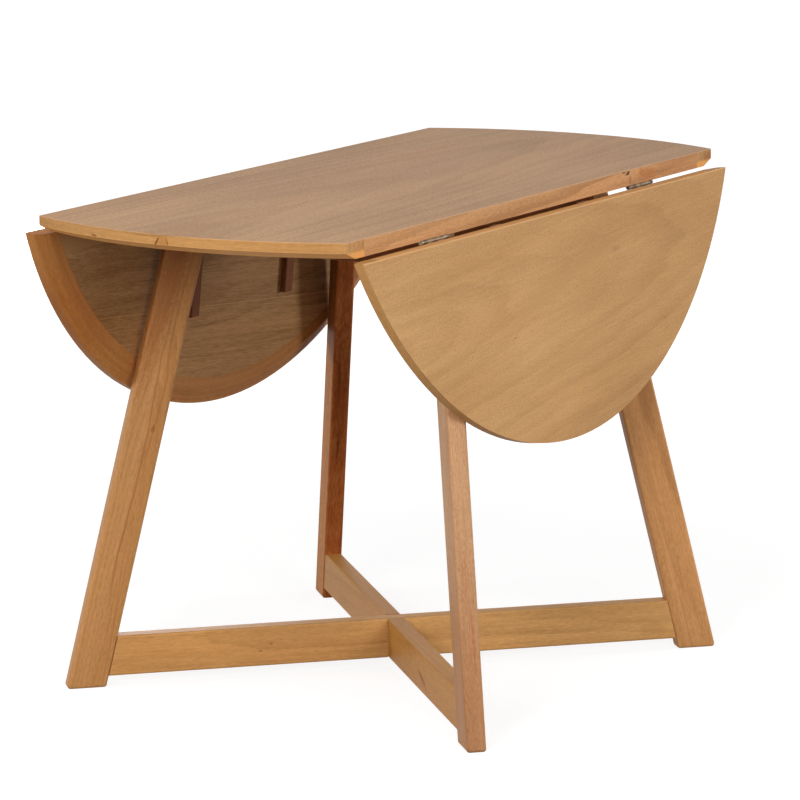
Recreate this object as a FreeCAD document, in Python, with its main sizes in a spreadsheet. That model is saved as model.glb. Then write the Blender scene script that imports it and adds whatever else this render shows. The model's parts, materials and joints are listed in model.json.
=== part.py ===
import FreeCAD, Part
import math
import os
import re

import Sketcher
from FreeCAD import Placement, Rotation, Vector

# A round table with two hinged drop leaves on a fixed base of four splayed legs.
# Frame: origin on the floor under the middle, Z up, Y along the hinge lines, X across the leaves.
# The leaves are built raised, level with the middle board, and then swung down about their hinges.

driving = {
    # the round top
    "tableHeight": 756,
    "topRadius": 600,
    "centreWidth": 522,
    "boardThick": 25,
    "jointGap": 2,
    "edgeFace": 15,
    "bevelRun": 22,
    "rimWidth": 42,
    "lipWidth": 34,
    "veneerThick": 0.8,
    "seamFromHinge": 182,
    "seamGap": 0.3,
    "seamAngle": 4.9,
    # legs and cross stretchers
    "legWidth": 60.5,
    "legThick": 29,
    "legOverhang": 13.5,
    "legFootReach": 177.8,
    "legEase": 5,
    "footEase": 4.5,
    "stretcherLow": 17,
    "stretcherHeight": 61.5,
    "stretcherThick": 27,
    "stretcherEase": 3,
    # aprons and corner blocks
    "apronHeight": 60,
    "apronThick": 22,
    "apronEase": 2.5,
    "blockHeight": 50,
    "blockDepth": 27,
    "blockToLeg": 18,
    # hinges
    "hingeLength": 76,
    "hingeFromLeg": 57.9,
    "plateWidth": 32,
    "plateThick": 2,
    "knuckleRadius": 3,
    "knuckleGap": 0.3,
    "hingePinRadius": 1.5,
    "axisBelowBoard": 2.5,
    "axisInsideEdge": 0.7,
    "plateScrewSpacing": 27,
    # sliding support bars under each leaf
    "barLength": 183,
    "barWidth": 22,
    "barThick": 9,
    "barEase": 1.5,
    "barFromMiddle": 130.5,
    "barTravel": 22,
    "guideLength": 20,
    "guideWall": 14,
    "guideFloor": 6,
    "innerGuideAt": 20,
    "outerGuideAt": 70,
    "stopPinRadius": 3,
    "stopPinReach": 7,
    "stopPinDepth": 6,
    "notchMargin": 1,
    # fasteners
    "screwRadius": 1.75,
    "screwHeadRadius": 3.6,
    "screwHeadDepth": 1.9,
    "screwTip": 4,
    "plateScrewLength": 16,
    "guideScrewLength": 30,
    "blockScrewLength": 36,
    "topScrewLength": 38,
    "topScrewSpread": 22,
    "lapScrewLength": 45,
    "counterboreRadius": 4.5,
    "dowelRadius": 5,
    "dowelReach": 25,
    "boltRadius": 4,
    "boltInLeg": 30,
    "nutRadius": 7.5,
    "nutHeight": 6,
    "nutFlangeRadius": 9,
    "nutFlangeHeight": 2,
    # clearances
    "slideClear": 0.3,
    "restClear": 0.3,
    "fitClear": 0.05,
}

doc = FreeCAD.newDocument("dropLeafTable")
sheet = doc.addObject("Spreadsheet::Sheet", "Sizes")
for row, (name, number) in enumerate(driving.items(), start=1):
    sheet.set(f"A{row}", name)
    sheet.set(f"B{row}", str(number))
    sheet.setAlias(f"B{row}", name)
doc.recompute()

upward = (0, 0, 1)
alongX = (1, 0, 0)
alongY = (0, 1, 0)
rightAngle = 90
diagonalAngle = 45
halfTurnAngle = 180
ends = (-1, 1)
toTop, toLeaf = ends
guidePlaces = ("innerGuideAt", "outerGuideAt")
subParts = []


# ---- formulas and plain shapes ----


def full(text):
    """The formula with each size's name pointing at its cell."""
    return re.sub(r"[A-Za-z]+", lambda m: "Sizes." + m[0] if m[0] in driving else m[0], str(text))


def value(text):
    return float(sheet.evalExpression(full(text)))


def bind(thing, **formulas):
    for prop, text in formulas.items():
        thing.setExpression(prop, full(text))
    return thing


def seat(thing, start):
    """Ties the thing's corner or centre to three formulas."""
    for axis, text in zip("xyz", start):
        thing.setExpression(f".Placement.Base.{axis}", full(text))
    return thing


def box(name, low, lengths):
    made = doc.addObject("Part::Box", name)
    bind(made, Length=lengths[0], Width=lengths[1], Height=lengths[2])
    return seat(made, low)


def rod(name, radius, length, start, along=upward):
    made = doc.addObject("Part::Cylinder", name)
    bind(made, Radius=radius, Height=length)
    made.Placement = Placement(Vector(), Rotation(Vector(*upward), Vector(*along)))
    return seat(made, start)


def cone(name, radii, length, start, along):
    made = doc.addObject("Part::Cone", name)
    bind(made, Radius1=radii[0], Radius2=radii[1], Height=length)
    made.Placement = Placement(Vector(), Rotation(Vector(*upward), Vector(*along)))
    return seat(made, start)


def group(name, parts):
    made = doc.addObject("Part::Compound", name)
    made.Links = parts
    return made


def fuse(name, parts):
    made = doc.addObject("Part::MultiFuse", name)
    made.Shapes = parts
    return made


def common(name, parts):
    made = doc.addObject("Part::MultiCommon", name)
    made.Shapes = parts
    return made


def cut(name, base, tools):
    made = doc.addObject("Part::Cut", name)
    made.Base = base
    made.Tool = tools[0] if len(tools) == 1 else group(name + "_tools", tools)
    return made


def subPart(label, thing, place=Placement()):
    """Registers one piece of the table under its own label, at its own place."""
    thing.Label = label
    thing.Placement = place
    subParts.append(thing)
    return thing


# ---- sketched bodies ----


def originPlane(body, role):
    return next(feature for feature in body.Origin.OriginFeatures if feature.Role == role)


def outline(body, role, corners):
    """A closed outline of straight lines whose corners are tied to formulas."""
    sketch = body.newObject("Sketcher::SketchObject", "outline")
    sketch.AttachmentSupport = [(originPlane(body, role), "")]
    sketch.MapMode = "FlatFace"
    places = [Vector(value(x), value(y), 0) for x, y in corners]
    count = len(corners)
    for i in range(count):
        sketch.addGeometry(Part.LineSegment(places[i], places[(i + 1) % count]), False)
    for i in range(count):
        sketch.addConstraint(Sketcher.Constraint("Coincident", i, 2, (i + 1) % count, 1))
    for i, corner in enumerate(corners):
        for kind, text in zip(("DistanceX", "DistanceY"), corner):
            index = sketch.addConstraint(Sketcher.Constraint(kind, -1, 1, i, 1, value(text)))
            sketch.setExpression(f"Constraints[{index}]", full(text))
    return sketch


def padded(name, role, corners, thickness, symmetric=True):
    body = doc.addObject("PartDesign::Body", name)
    sketch = outline(body, role, corners)
    pad = body.newObject("PartDesign::Pad", "pad")
    pad.Profile = sketch
    if symmetric:
        pad.SideType = "Symmetric"
    bind(pad, Length=thickness)
    doc.recompute()
    return body


def eased(body, radius, chosen):
    """Rounds the edges of the body that the test picks."""
    base = body.Tip
    names = [f"Edge{i}" for i, edge in enumerate(base.Shape.Edges, start=1) if chosen(edge)]
    fillet = body.newObject("PartDesign::Fillet", "ease")
    fillet.Base = (base, names)
    bind(fillet, Radius=radius)
    doc.recompute()
    return body


# ---- places ----


def turned(degrees):
    return Placement(Vector(), Rotation(Vector(*upward), degrees))


underside = "(tableHeight - boardThick)"
hingeEdge = "(centreWidth / 2 + jointGap)"
hingeX = "(centreWidth / 2 - axisInsideEdge)"
hingeZ = f"({underside} - axisBelowBoard)"
legHeadReach = "(centreWidth / 2 - legOverhang)"
hingeFromMiddle = f"({legHeadReach} + hingeFromLeg)"


def legOuter(z):
    """Distance from the middle to a leg's outer edge at a height, along its diagonal."""
    head = f"(sqrt(2) * {legHeadReach} - legThick / 2)"
    return f"({head} + legFootReach * (1 - ({z}) / {underside}))"


def legInner(z):
    return f"({legOuter(z)} - legWidth)"


def legTouch(z):
    """Where a leg's rounded outer corner reaches furthest towards a leaf, at a height."""
    lean = math.atan(value(f"legFootReach / {underside}"))
    across = value("legEase")
    out = across / math.cos(lean)
    reach = math.hypot(out, across)
    r = value(legOuter(z)) - out + out * out / reach
    t = value("legThick / 2") - across + across * across / reach
    return (r + t) / math.sqrt(2), (r - t) / math.sqrt(2)


def leafDrop():
    """Degrees that a leaf swings down from level until its back rests against the legs.

    The last point of the flat back that a leg can touch lies on the inner line of the bevelled rim.
    """
    flatRadius = value("topRadius - bevelRun")
    axisX, axisZ = value(hingeX), value(hingeZ)
    backFromAxis = value("axisBelowBoard")
    lean, z = 0.0, value("tableHeight / 2")
    for _ in range(60):
        touchX, touchY = legTouch(z)
        run = math.sqrt(flatRadius**2 - touchY**2) - axisX
        away = Vector(touchX - axisX, 0, z - axisZ)
        offset = backFromAxis - value("restClear")
        lean = math.atan2(away.x, -away.z) - math.asin(offset / away.Length)
        z = axisZ - run * math.cos(lean) + backFromAxis * math.sin(lean)
    return rightAngle - math.degrees(lean)


dropAngle = leafDrop()
hingeLine = Vector(value(hingeX), 0, value(hingeZ))
swungDown = Placement(Vector(), Rotation(Vector(*alongY), dropAngle), hingeLine)
sides = {"right": turned(0), "left": turned(halfTurnAngle)}
apronAngles = {"right": 0, "back": rightAngle, "left": halfTurnAngle, "front": -rightAngle}
corners = {
    "back_right": diagonalAngle,
    "back_left": diagonalAngle + rightAngle,
    "front_left": diagonalAngle + halfTurnAngle,
    "front_right": diagonalAngle + halfTurnAngle + rightAngle,
}


def endName(side, sign):
    """Front is the -Y end. The left side is the right side turned half a turn."""
    forward = sign < 0 if side == "right" else sign > 0
    return "front" if forward else "back"


# ---- fasteners ----


def screw(name, head, along, length, clear="0", counterbore=None):
    """A countersunk wood screw from the centre of its head, or the hole for one."""
    way = Vector(*along)
    way.normalize()

    def onward(distance):
        return [f"{start} + ({distance}) * {part:.9f}" for start, part in zip(head, way)]

    wide, thin = f"screwHeadRadius + {clear}", f"screwRadius + {clear}"
    parts = [
        cone(name + "Head", (wide, thin), "screwHeadDepth", head, along),
        rod(name + "Shank", thin, f"{length} - screwTip", head, along),
        cone(name + "Tip", (thin, f"{thin} / 4"), "screwTip", onward(f"{length} - screwTip"), along),
    ]
    if counterbore:
        back = onward(f"-({counterbore})")
        parts.append(rod(name + "Counterbore", "counterboreRadius", counterbore, back, along))
    return fuse(name, parts)


def plateScrewPlaces(hand, end):
    """Head centres of the screws in one plate of a right hinge, with the leaf raised."""
    x = f"{hingeX} + {hand} * (plateWidth + knuckleRadius + knuckleGap) / 2"
    z = f"{underside} - plateThick"
    return [
        (x, f"{end} * {hingeFromMiddle} + {step} * plateScrewSpacing", z)
        for step in (-1, 0, 1)
    ]


def plateScrews(name, hand, clear="0"):
    """The screws of the plates on one side of a right leaf's hinge line."""
    places = [place for end in ends for place in plateScrewPlaces(hand, end)]
    return screws(name, places, "plateScrewLength", clear)


def guideScrewPlaces():
    """Head centres of the screws that hold the bar guides to a raised right leaf."""
    side = "(barWidth / 2 + slideClear + guideWall / 2)"
    z = f"{underside} - barThick - 2 * slideClear - guideFloor"
    return [
        (f"{hingeEdge} + {along}", f"{end} * barFromMiddle + {hand} * {side}", z)
        for end in ends
        for along in guidePlaces
        for hand in ends
    ]


def screws(name, places, length, clear="0"):
    return [screw(name, place, upward, length, clear) for place in places]


def aroundCorners(name, maker):
    """The same pieces at each of the four legs."""
    made = []
    for angle in corners.values():
        one = group(name + "AtCorner", maker())
        one.Placement = turned(angle)
        made.append(one)
    return group(name, made)


# ---- base: legs, cross stretchers, aprons, corner blocks ----

boltZ = f"({underside} - blockHeight / 2)"
lapZ = "(stretcherLow + stretcherHeight / 2)"
dowelHeights = [f"(stretcherLow + stretcherHeight * {share})" for share in (0.25, 0.75)]


def dowels(name, radius, spare="0", sign=1):
    """Two dowels between a cross stretcher's end and its leg, along a diagonal."""
    made = []
    for z in dowelHeights:
        low, high = f"{legInner(z)} - dowelReach - {spare}", f"2 * (dowelReach + {spare})"
        start = (low, 0, z) if sign > 0 else (f"-({low}) - {high}", 0, z)
        made.append(rod(name, radius, high, start, alongX))
    return made


def leg(corner, angle):
    shape = [
        (legInner(0), 0),
        (legOuter(0), 0),
        (legOuter(underside), underside),
        (legInner(underside), underside),
    ]
    body = padded("legBody", "XZ_Plane", shape, "legThick")
    eased(body, "legEase", lambda edge: edge.Length > value("tableHeight / 2"))
    eased(body, "footEase", lambda edge: edge.BoundBox.ZMax < value("footEase / 2"))
    holes = dowels("legDowelHole", "dowelRadius + fitClear", "fitClear")
    bolt = rod(
        "legBoltHole",
        "boltRadius + fitClear",
        "boltInLeg + blockToLeg + fitClear",
        (f"{legInner(boltZ)} - blockToLeg", 0, boltZ),
        alongX,
    )
    subPart("leg_" + corner, cut("leg", body, holes + [bolt]), turned(angle))


def crossStretcher(label, angle, notchedBelow):
    low, high = "stretcherLow", "(stretcherLow + stretcherHeight)"
    shape = [
        (f"-{legInner(low)}", low),
        (legInner(low), low),
        (legInner(high), high),
        (f"-{legInner(high)}", high),
    ]
    body = padded("stretcherBody", "XZ_Plane", shape, "stretcherThick")
    eased(body, "stretcherEase", lambda edge: edge.Length > value(legInner(high)))
    notch = box(
        "lapNotch",
        ("-stretcherThick / 2 - fitClear", "-stretcherThick", low if notchedBelow else lapZ),
        ("stretcherThick + 2 * fitClear", "2 * stretcherThick", "stretcherHeight / 2"),
    )
    holes = [
        hole
        for sign in ends
        for hole in dowels("stretcherDowelHole", "dowelRadius + fitClear", "fitClear", sign)
    ]
    holes.append(lapScrew("lapScrewHole", "fitClear"))
    subPart(label, cut("stretcher", body, [notch] + holes), turned(angle))


def lapScrew(name, clear):
    return screw(name, (0, 0, "stretcherLow"), upward, "lapScrewLength", clear)


apronMid = f"(({legOuter(f'{underside} - apronHeight / 2')} - legWidth / 2) / sqrt(2))"
apronInner = f"({apronMid} - apronThick / 2)"
apronOuter = f"({apronMid} + apronThick / 2)"
blockInner = f"({legInner(boltZ)} - blockToLeg - blockDepth)"
blockOuter = f"({legInner(boltZ)} - blockToLeg)"
blockReach = f"({apronInner} * sqrt(2))"


def apronScrew(name, sign, clear="0", counterbore=None):
    """A screw from a corner block square into the apron on one side of the block."""
    head = (blockInner, f"{sign} * ({blockReach} - {blockOuter})", boltZ)
    return screw(name, head, (1, sign, 0), "blockScrewLength", clear, counterbore)


def apronScrews(name, clear="0", counterbore=None):
    return [apronScrew(name, sign, clear, counterbore) for sign in ends]


def topScrews(name, clear="0", counterbore=None):
    """Screws up through a corner block into the middle board."""
    r = f"({blockInner} + {blockOuter}) / 2"
    z = f"{underside} + boardThick / 2 - topScrewLength"
    return [
        screw(name, (r, f"{sign} * topScrewSpread", z), upward, "topScrewLength", clear, counterbore)
        for sign in ends
    ]


def apron(label, angle, notched):
    """A rail under the top, with its ends mitred against the flat sides of the turned legs."""
    mitre = "legThick / sqrt(2)"
    shape = [
        (apronInner, f"-({apronInner} - {mitre})"),
        (apronOuter, f"-({apronOuter} - {mitre})"),
        (apronOuter, f"{apronOuter} - {mitre}"),
        (apronInner, f"{apronInner} - {mitre}"),
    ]
    body = padded("apronBody", "XY_Plane", shape, "apronHeight", symmetric=False)
    eased(
        body,
        "apronEase",
        lambda edge: edge.BoundBox.ZMax < value("apronEase / 2") and edge.Length > value("apronHeight * 2"),
    )
    seat(body, (0, 0, f"{underside} - apronHeight"))
    tools = []
    for sign in ends:
        hole = group("apronScrewHoleAtCorner", [apronScrew("apronScrewHole", -sign, "fitClear")])
        hole.Placement = turned(sign * diagonalAngle)
        tools.append(hole)
        if notched:
            tools.append(barNotch(sign))
    subPart(label, cut("apron", body, tools), turned(angle))


def barNotch(sign):
    """Room in a side apron's top edge for a support bar's end."""
    width = "(barWidth + 2 * notchMargin)"
    depth = "(barThick + slideClear + notchMargin)"
    return box(
        "barNotch",
        (f"{apronInner} - notchMargin", f"{sign} * barFromMiddle - {width} / 2", f"{underside} - {depth}"),
        ("apronThick + 2 * notchMargin", width, depth),
    )


def boltAt(name, radius, length, start):
    return rod(name, radius, length, (start, 0, boltZ), alongX)


def cornerBlock(corner, angle):
    """A glued block behind a leg, between two aprons, bolted to the leg and screwed to the top."""
    shape = [
        (blockInner, f"{blockInner} - {blockReach}"),
        (blockOuter, f"{blockOuter} - {blockReach}"),
        (blockOuter, f"{blockReach} - {blockOuter}"),
        (blockInner, f"{blockReach} - {blockInner}"),
    ]
    body = padded("blockBody", "XY_Plane", shape, "blockHeight", symmetric=False)
    seat(body, (0, 0, f"{underside} - blockHeight"))
    holes = [boltAt("blockBoltHole", "boltRadius + fitClear", "blockDepth", blockInner)]
    holes += apronScrews("blockScrewHole", "fitClear", "screwHeadRadius * 2")
    holes += topScrews("topScrewHole", "fitClear", "blockHeight")
    subPart("corner_block_" + corner, cut("cornerBlock", body, holes), turned(angle))


boltOut = "(nutHeight + nutFlangeHeight + screwTip)"


def legBolt():
    length = f"{boltOut} + blockDepth + blockToLeg + boltInLeg"
    return [boltAt("legBolt", "boltRadius", length, f"{blockInner} - {boltOut}")]


def legBoltNut():
    """A flanged hexagon nut on a leg bolt's inner end."""
    flange = boltAt("nutFlange", "nutFlangeRadius", "nutFlangeHeight", f"{blockInner} - nutFlangeHeight")
    hexagon = doc.addObject("Part::Prism", "nutHexagon")
    hexagon.Polygon = 6
    bind(hexagon, Circumradius="nutRadius", Height="nutHeight")
    hexagon.Placement = Placement(Vector(), Rotation(Vector(*upward), Vector(*alongX)))
    seat(hexagon, (f"{blockInner} - nutFlangeHeight - nutHeight", 0, boltZ))
    bore = boltAt("nutBore", "boltRadius + fitClear", boltOut, f"{blockInner} - {boltOut}")
    return [cut("nut", fuse("nutBlank", [flange, hexagon]), [bore])]


def base():
    for corner, angle in corners.items():
        leg(corner, angle)
        cornerBlock(corner, angle)
    crossStretcher("cross_stretcher_upper", diagonalAngle, notchedBelow=True)
    crossStretcher("cross_stretcher_lower", -diagonalAngle, notchedBelow=False)
    for label, angle in apronAngles.items():
        apron("apron_" + label, angle, notched=label in sides)
    subPart("stretcher_dowels", aroundCorners("dowels", lambda: dowels("dowel", "dowelRadius")))
    subPart("lap_screw", lapScrew("lapScrew", "0"))
    subPart("leg_bolts", aroundCorners("legBolts", legBolt))
    subPart("leg_bolt_nuts", aroundCorners("legBoltNuts", legBoltNut))
    subPart("apron_screws", aroundCorners("apronScrews", lambda: apronScrews("apronScrew")))
    subPart("top_screws", aroundCorners("topScrews", lambda: topScrews("topScrew")))


# ---- boards of the top ----

underVeneer = f"({underside} + veneerThick)"
faceVeneerLow = "(tableHeight - veneerThick)"
coreThick = "(boardThick - 2 * veneerThick)"
solidThick = "(boardThick - veneerThick)"
insideRim = "(topRadius - rimWidth)"


def strip(name, fromX, toX, z, thickness, radius):
    """The part of a flat disc between two lines along Y."""
    slab = box(
        name + "Slab",
        (fromX, "-topRadius", z),
        (f"{toX} - ({fromX})", "2 * topRadius", thickness),
    )
    return common(name, [rod(name + "Disc", radius, thickness, (0, 0, z)), slab])


def rimRing():
    """A full ring of the rim: an upright face above, a long bevel below."""
    face = "(tableHeight - edgeFace)"
    section = [
        (insideRim, underside),
        ("topRadius - bevelRun", underside),
        ("topRadius", face),
        ("topRadius", faceVeneerLow),
        (insideRim, faceVeneerLow),
    ]
    body = doc.addObject("PartDesign::Body", "rimRing")
    sketch = outline(body, "XZ_Plane", section)
    ring = body.newObject("PartDesign::Revolution", "ring")
    ring.Profile = sketch
    ring.ReferenceAxis = (sketch, ["V_Axis"])
    ring.Angle = 2 * halfTurnAngle
    return body


def rimPiece(label, low, lengths, place=Placement()):
    window = box("rimWindow", low, lengths)
    subPart(label, common("rim", [rimRing(), window]), place)


def middleBoard():
    edge, inner = "centreWidth / 2", "(centreWidth / 2 - lipWidth)"
    holes = aroundCorners("topScrewHoles", lambda: topScrews("topScrewHole", "fitClear"))
    core = strip("middleCore", f"-{inner}", inner, underVeneer, coreThick, insideRim)
    subPart("middle_core", cut("middleCoreDrilled", core, [holes]))
    back = strip("middleBack", f"-{inner}", inner, underside, "veneerThick", insideRim)
    subPart("middle_back_veneer", cut("middleBackDrilled", back, [holes]))
    face = strip("middleFace", f"-{edge}", edge, faceVeneerLow, "veneerThick", "topRadius")
    subPart("middle_face_veneer", face)
    for label, y in (("middle_rim_front", "-topRadius"), ("middle_rim_back", 0)):
        rimPiece(label, (f"-{edge}", y, underside), ("centreWidth", "topRadius", "boardThick"))
    for side, place in sides.items():
        lip = strip("middleLip", inner, edge, underside, solidThick, insideRim)
        tools = plateScrews("lipScrewHole", toTop, "fitClear") + [knuckleGroove(end) for end in ends]
        subPart("middle_lip_" + side, cut("middleLipDrilled", lip, tools), place)


def knuckleGroove(end):
    """Room under the middle board's edge for a hinge's knuckles."""
    return rod(
        "knuckleGroove",
        "knuckleRadius + knuckleGap",
        "hingeLength + 2 * knuckleGap",
        (hingeX, f"{end} * {hingeFromMiddle} - hingeLength / 2 - knuckleGap", hingeZ),
        alongY,
    )


def leafHoles():
    guide = screws("guideHole", guideScrewPlaces(), "guideScrewLength", "fitClear")
    return plateScrews("leafPlateHole", toLeaf, "fitClear") + guide


def backSeam():
    """The thin joint between the two sheets of a leaf's back veneer, a little off the hinge line."""
    slit = box(
        "seamSlit",
        ("-seamGap / 2", "-topRadius", underside),
        ("seamGap", "2 * topRadius", "veneerThick"),
    )
    seam = group("backSeam", [slit])
    seam.setExpression(".Placement.Rotation.Angle", full("seamAngle"))
    return seat(seam, (f"{hingeEdge} + seamFromHinge", "0", "0"))


def leafBoard(side, place):
    inner = f"({hingeEdge} + lipWidth)"
    core = strip("leafCore", inner, "topRadius", underVeneer, coreThick, insideRim)
    subPart(f"leaf_{side}_core", cut("leafCoreDrilled", core, leafHoles()), place)
    back = strip("leafBack", inner, "topRadius", underside, "veneerThick", insideRim)
    subPart(f"leaf_{side}_back_veneer", cut("leafBackSheets", back, [backSeam()] + leafHoles()), place)
    face = strip("leafFace", hingeEdge, "topRadius", faceVeneerLow, "veneerThick", "topRadius")
    subPart(f"leaf_{side}_face_veneer", face, place)
    rimPiece(
        f"leaf_{side}_rim",
        (hingeEdge, "-topRadius", underside),
        ("topRadius", "2 * topRadius", "boardThick"),
        place,
    )
    lip = strip("leafLip", hingeEdge, inner, underside, solidThick, insideRim)
    subPart(f"leaf_{side}_lip", cut("leafLipDrilled", lip, leafHoles()), place)


# ---- hinges ----

knuckleCount = 5


def hingePlate(end, hand):
    """One plate of a butt hinge with every second knuckle, screwed flat under a board."""
    low = f"({end} * {hingeFromMiddle} - hingeLength / 2)"
    z = f"{underside} - plateThick"
    gap = "(knuckleRadius + knuckleGap)"
    if hand == toLeaf:
        plateX, webX, first = f"{hingeX} + {gap}", hingeX, 1
    else:
        plateX, webX, first = f"{hingeX} - plateWidth", f"{hingeX} - {gap}", 0
    parts = [box("plateFlat", (plateX, low, z), (f"plateWidth - {gap}", "hingeLength", "plateThick"))]
    pitch = f"hingeLength / {knuckleCount}"
    for i in range(first, knuckleCount, 2):
        y = f"{low} + {i} * {pitch} + knuckleGap / 2"
        length = f"{pitch} - knuckleGap"
        parts.append(rod("knuckle", "knuckleRadius", length, (hingeX, y, hingeZ), alongY))
        parts.append(box("knuckleWeb", (webX, y, z), (gap, length, "plateThick")))
    bore = rod("pinBore", "hingePinRadius + fitClear", "hingeLength", (hingeX, low, hingeZ), alongY)
    holes = screws("plateHole", plateScrewPlaces(hand, end), "plateScrewLength", "fitClear")
    return cut("hingePlate", fuse("plateBlank", parts), [bore] + holes)


def hinges(side, place):
    """Two butt hinges along one side of the middle board."""
    pins = []
    for end in ends:
        label = f"hinge_{side}_{endName(side, end)}"
        subPart(label + "_top_plate", hingePlate(end, toTop), place)
        subPart(label + "_leaf_plate", hingePlate(end, toLeaf), place * swungDown)
        low = f"{end} * {hingeFromMiddle} - hingeLength / 2"
        pins.append(rod("hingePin", "hingePinRadius", "hingeLength", (hingeX, low, hingeZ), alongY))
    subPart(f"hinge_pins_{side}", group("hingePins", pins), place)


def hingeTopScrews():
    made = []
    for place in sides.values():
        row = group("plateScrewRow", plateScrews("plateScrew", toTop))
        row.Placement = place
        made.append(row)
    subPart("hinge_top_screws", group("hingeTopScrews", made))


# ---- sliding support bars ----

barTop = f"({underside} - slideClear)"
barUnder = f"({barTop} - barThick)"
stopPinAt = "(outerGuideAt - guideLength / 2 - slideClear - barTravel - stopPinRadius)"


def supportBar(label, place):
    shape = [
        (hingeEdge, barUnder),
        (f"{hingeEdge} + barLength", barUnder),
        (f"{hingeEdge} + barLength", barTop),
        (hingeEdge, barTop),
    ]
    body = padded("barBody", "XZ_Plane", shape, "barWidth")
    eased(body, "barEase", lambda edge: edge.Length > value("(barLength + barWidth) / 2"))
    subPart(label, cut("bar", body, [stopPin("stopPinHole", "stopPinRadius + fitClear")]), place)


def stopPin(name, radius):
    """A peg driven into the bar from below, which meets the outer guide at the end of the travel."""
    start = (f"{hingeEdge} + {stopPinAt}", 0, f"{barUnder} - stopPinReach")
    return rod(name, radius, "stopPinReach + stopPinDepth", start)


def supportBars(side, place):
    for end in ends:
        name = f"{side}_{endName(side, end)}"
        along = place * Placement(Vector(0, end * value("barFromMiddle"), 0), Rotation())
        supportBar("support_bar_" + name, along)
        subPart("bar_stop_pin_" + name, group("pin", [stopPin("stopPin", "stopPinRadius")]), along)


def barGuides(side, place):
    """Two channelled blocks for each bar, screwed under the leaf."""
    channel, deep = "(barWidth + 2 * slideClear)", "(barThick + 2 * slideClear)"
    wide, tall = f"({channel} + 2 * guideWall)", f"({deep} + guideFloor)"

    def prism(name, width, height, along, end):
        y = f"{end} * barFromMiddle - {width} / 2"
        start = (f"{hingeEdge} + {along} - guideLength / 2", y, f"{underside} - {height}")
        return box(name, start, ("guideLength", width, height))

    made = []
    for end in ends:
        for along in guidePlaces:
            block = prism("guideBlock", wide, tall, along, end)
            made.append(cut("guide", block, [prism("guideSlot", channel, deep, along, end)]))
    holes = screws("guideScrewHole", guideScrewPlaces(), "guideScrewLength", "fitClear")
    subPart(f"bar_guides_{side}", cut("barGuides", group("guides", made), holes), place)


def leafScrews(side, place):
    guide = screws("guideScrew", guideScrewPlaces(), "guideScrewLength")
    made = plateScrews("leafPlateScrew", toLeaf) + guide
    subPart(f"leaf_{side}_screws", group("leafScrews", made), place)


# ---- the whole table ----


def table():
    base()
    middleBoard()
    hingeTopScrews()
    for side, place in sides.items():
        hinges(side, place)
        down = place * swungDown
        leafBoard(side, down)
        supportBars(side, down)
        barGuides(side, down)
        leafScrews(side, down)


def export():
    doc.recompute()
    for thing in doc.Objects:
        if "Invalid" in thing.State or "Error" in thing.State:
            raise SystemExit(f"{thing.Label} failed: {thing.State}")
    for thing in subParts:
        if thing.Shape.isNull() or not thing.Shape.isValid():
            raise SystemExit(f"{thing.Label} has no valid shape")
    os.makedirs("parts", exist_ok=True)
    for thing in subParts:
        thing.Shape.exportStep(f"parts/{thing.Label}.step")
        print(f"{thing.Label}: {len(thing.Shape.Solids)} solid(s), {thing.Shape.Volume / 1000:.2f} cm3")


table()
export()
print(f"{len(subParts)} nodes")
print(f"a leaf swings {dropAngle:.4f} degrees about x {value(hingeX):.3f}, z {value(hingeZ):.3f}")
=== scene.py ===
import bpy
import json
import math
from mathutils import Matrix, Vector


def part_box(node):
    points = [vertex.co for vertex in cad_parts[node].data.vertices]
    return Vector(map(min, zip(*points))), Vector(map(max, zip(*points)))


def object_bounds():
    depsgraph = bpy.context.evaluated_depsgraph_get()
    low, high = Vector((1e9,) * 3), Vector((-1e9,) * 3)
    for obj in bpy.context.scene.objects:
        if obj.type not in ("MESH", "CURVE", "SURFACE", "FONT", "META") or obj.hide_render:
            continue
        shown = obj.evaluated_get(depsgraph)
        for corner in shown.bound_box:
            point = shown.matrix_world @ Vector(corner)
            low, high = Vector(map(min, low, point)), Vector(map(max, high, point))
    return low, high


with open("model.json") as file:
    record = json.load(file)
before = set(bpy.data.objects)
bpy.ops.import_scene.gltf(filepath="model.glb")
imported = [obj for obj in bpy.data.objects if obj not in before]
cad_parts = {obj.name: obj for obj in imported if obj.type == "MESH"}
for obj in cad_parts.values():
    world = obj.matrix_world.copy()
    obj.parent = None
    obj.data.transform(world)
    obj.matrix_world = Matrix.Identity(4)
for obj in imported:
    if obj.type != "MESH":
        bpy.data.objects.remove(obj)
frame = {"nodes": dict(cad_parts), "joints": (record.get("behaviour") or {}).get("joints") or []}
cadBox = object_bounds()
nodes = frame["nodes"]
joints = {joint["name"]: joint for joint in frame["joints"]}
print("frame loaded:", len(nodes), "nodes")


def tint(red, green, blue):
    # a colour as a paint chart gives it, from 0 to 255, for a shader socket
    def plain(part):
        part = part / 255
        return part / 12.92 if part <= 0.04045 else ((part + 0.055) / 1.055) ** 2.4

    return (plain(red), plain(green), plain(blue), 1)


def toned(colour, red, green, blue):
    # a stronger or weaker version of a colour
    return (colour[0] * red, colour[1] * green, colour[2] * blue, 1)


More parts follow.
